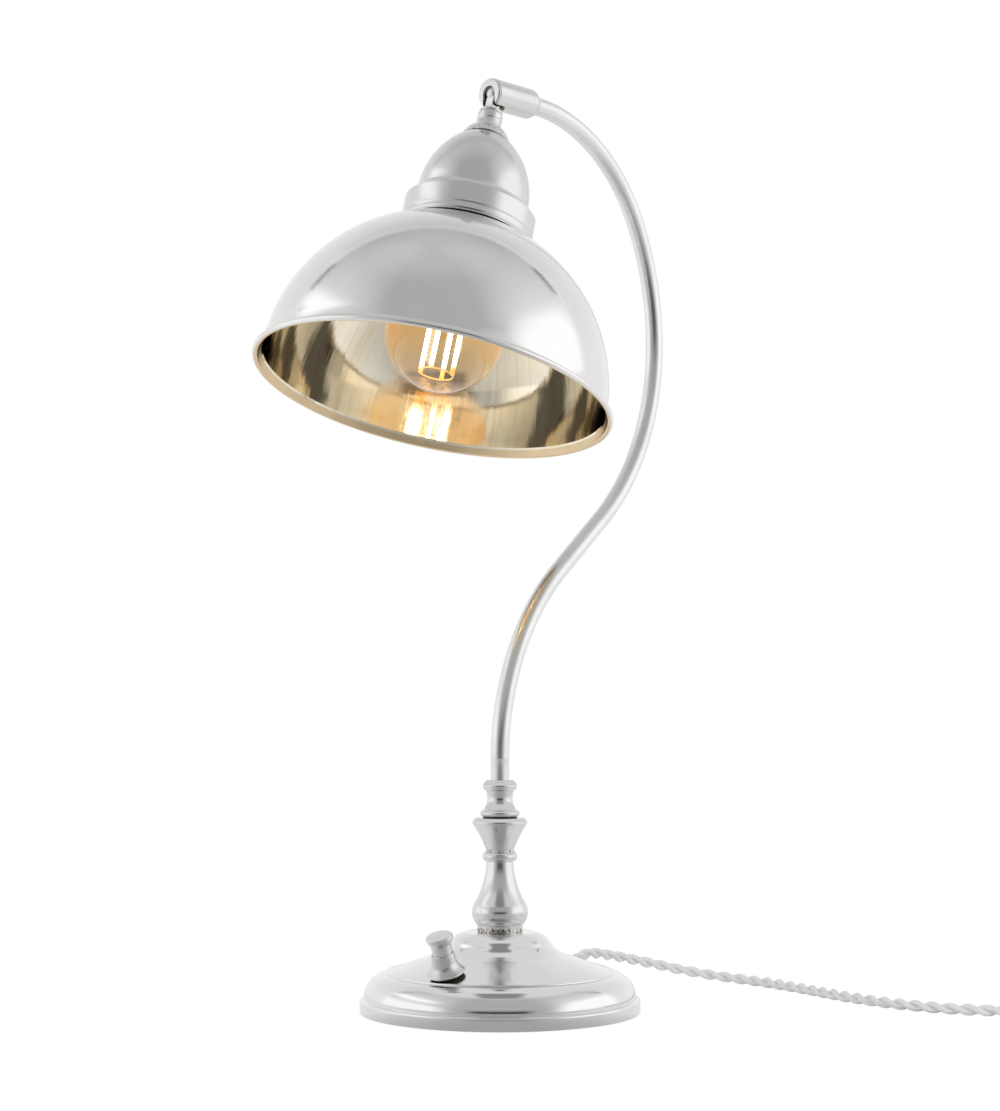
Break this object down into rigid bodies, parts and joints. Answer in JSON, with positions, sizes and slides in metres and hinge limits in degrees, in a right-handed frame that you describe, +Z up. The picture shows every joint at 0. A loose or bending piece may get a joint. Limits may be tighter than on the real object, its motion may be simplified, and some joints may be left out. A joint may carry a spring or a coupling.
{
  "type": "tabletop searchlight lamp",
  "caption": "Nickel-plated desk lamp with a round weighted foot, turned column, swan-neck arm, nodding ball joint, bell cover, dome shade and globe bulb.",
  "frame": {"origin": "centre of the foot's underside, on the table", "axes": "+Z up along the column; the arm lies in the plane X = 0, bows towards +Y, and the shade leans towards -Y"},
  "size_m": [0.3946, 0.4719, 0.5054],
  "materials": {
    "nickel": "polished nickel plate on turned brass and on spun and drawn sheet",
    "steel": "plain turned or stamped steel",
    "spring_steel": "hardened spring steel",
    "iron": "raw sand-cast iron",
    "brass": "plain turned and stamped brass",
    "felt": "dark green wool felt",
    "washer": "dark nylon",
    "bakelite": "black moulded phenolic",
    "porcelain": "glazed white steatite",
    "amber_glass": "clear blown glass with an amber tint",
    "clear_glass": "clear glass",
    "filament": "phosphor-coated stick",
    "lead": "insulated lead",
    "bush": "dark moulded bush",
    "cord": "pale grey braided textile over two twisted cores",
    "plug": "pale grey moulded plug"
  },
  "bodies": {
    "base": {"foot_shell": "nickel", "foot_weight": "iron", "bottom_plate": "steel", "plate_screws": "steel", "felt_pad": "felt", "column_tube": "steel", "tie_nut": "steel", "tie_washer": "steel", "column_lead": "lead", "column_vase": "nickel", "column_ring": "nickel", "column_cup": "nickel", "swivel_spigot": "brass", "swivel_washer": "washer", "switch_bezel": "nickel", "switch_nut": "steel", "switch_body": "bakelite", "switch_terminals": "brass", "switch_spring": "spring_steel", "cord_bush": "bush", "cord_clamp": "steel", "clamp_screws": "steel", "terminal_block": "porcelain", "cord": "cord", "cord_coil": "cord", "cord_tail": "cord", "plug_body": "plug", "plug_pins": "brass"},
    "button": {"switch_button": "nickel"},
    "arm": {"arm_collar": "nickel", "collar_stop_screw": "steel", "arm_tube": "nickel", "arm_lead": "lead", "joint_housing": "nickel", "ball_seat": "brass", "seat_springs": "spring_steel"},
    "knuckle": {"ball_stem": "nickel", "lock_ring": "nickel", "stem_collar": "steel"},
    "head": {"head_neck": "nickel", "head_nipple": "steel", "head_nut": "steel", "bell_cover": "nickel", "holder_cap": "bakelite", "holder_body": "bakelite", "holder_core": "porcelain", "holder_contact": "brass", "holder_screw_shell": "brass", "shade_ring": "bakelite", "shade": "nickel", "bulb_cap": "brass", "bulb_glass": "amber_glass", "bulb_mount": "clear_glass", "bulb_filaments": "filament"}
  },
  "joints": [
    {"name": "arm_swing", "type": "hinge", "parent": "base", "child": "arm", "pos_m": [0, 0, 0.104], "axis": [0, 0, 1], "range_deg": [-170, 170]},
    {"name": "head_tilt", "type": "hinge", "parent": "arm", "child": "knuckle", "pos_m": [0, -0.00402, 0.49706], "axis": [-1, 0, 0], "range_deg": [-20, 70]},
    {"name": "head_turn", "type": "hinge", "parent": "knuckle", "child": "head", "pos_m": [0, -0.00402, 0.49706], "axis": [0, 0.2756, 0.9613], "range_deg": [-170, 170]},
    {"name": "switch_push", "type": "slide", "parent": "base", "child": "button", "axis": [-0.066, 0.3301, -0.9416], "range_m": [0, 0.0035], "stiffness_N_per_m": 400, "springref_m": -0.002, "deforming": ["switch_spring"]}
  ]
}
